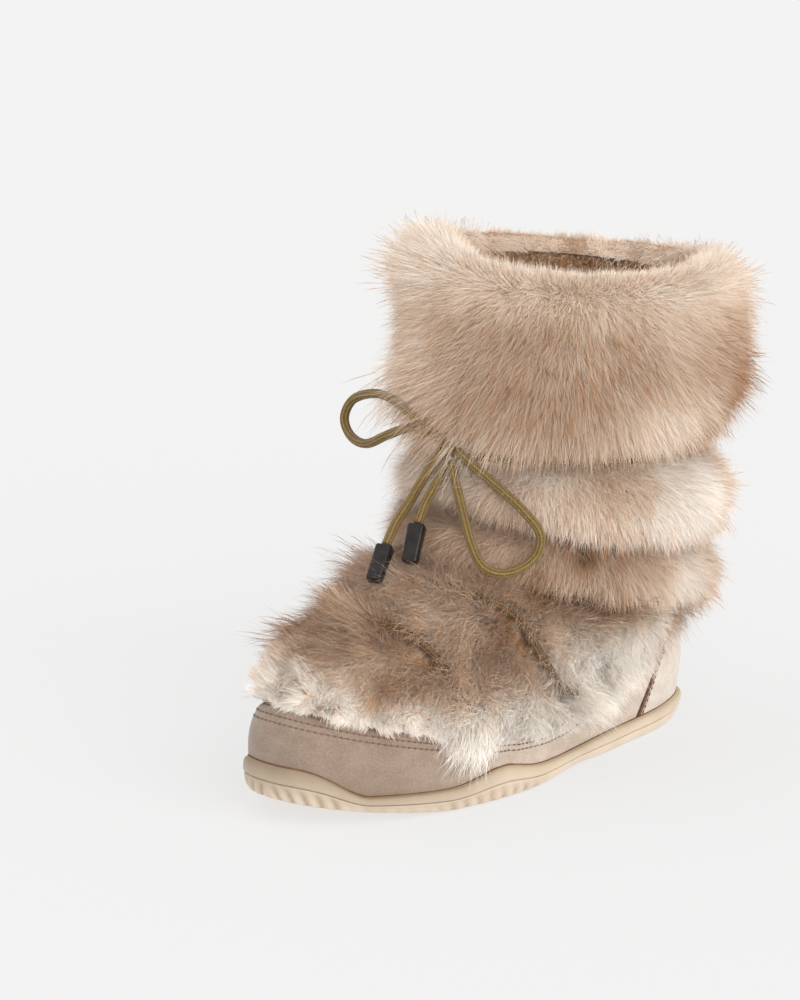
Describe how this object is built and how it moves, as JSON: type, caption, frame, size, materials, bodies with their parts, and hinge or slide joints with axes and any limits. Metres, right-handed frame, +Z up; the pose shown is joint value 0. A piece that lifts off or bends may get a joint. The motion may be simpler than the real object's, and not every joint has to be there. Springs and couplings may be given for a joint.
{
  "type": "fur boot",
  "caption": "Left ankle-high winter boot with a hollow upper, rubber cup sole, suede rand and heel, tiers of long fur, vamp lace and a drawcord tied in a bow.",
  "frame": {"origin": "on the floor, under the middle of the boot's box without the bow", "axes": "+X towards the heel, -Y towards the outer side of the left foot, +Z up"},
  "size_m": [0.281, 0.164, 0.2446],
  "materials": {
    "cream_rubber": "matte moulded rubber",
    "footbed": "foam footbed with a wool pile face",
    "lined_suede": "suede outside, wool pile inside",
    "suede": "fine napped beige suede",
    "heel_suede": "fine napped light beige suede",
    "vamp_fur": "long tan fur with white ends",
    "ankle_fur": "long tan and cream fur",
    "middle_fur": "long tan and cream fur",
    "cuff_fur": "long cream fur with tan guard hairs",
    "olive_cord": "round braided cord, olive brown",
    "dark_plastic": "glossy dark plastic"
  },
  "bodies": {
    "root": {"outsole": "cream_rubber", "insole": "footbed", "upper": "lined_suede", "suede_rand": "suede", "heel_counter": "heel_suede", "fur_vamp": "vamp_fur", "fur_ankle_band": "ankle_fur", "fur_middle_band": "middle_fur", "fur_cuff": "cuff_fur", "vamp_lace_front": "olive_cord", "vamp_lace_middle": "olive_cord", "vamp_lace_back_outer": "olive_cord", "vamp_lace_back_inner": "olive_cord", "drawcord": "olive_cord", "drawcord_knot": "olive_cord", "bow_loop_inner": "olive_cord", "bow_loop_outer": "olive_cord", "cord_end_outer": "olive_cord", "cord_end_inner": "olive_cord", "cord_tip_outer": "dark_plastic", "cord_tip_inner": "dark_plastic"}
  },
  "joints": []
}
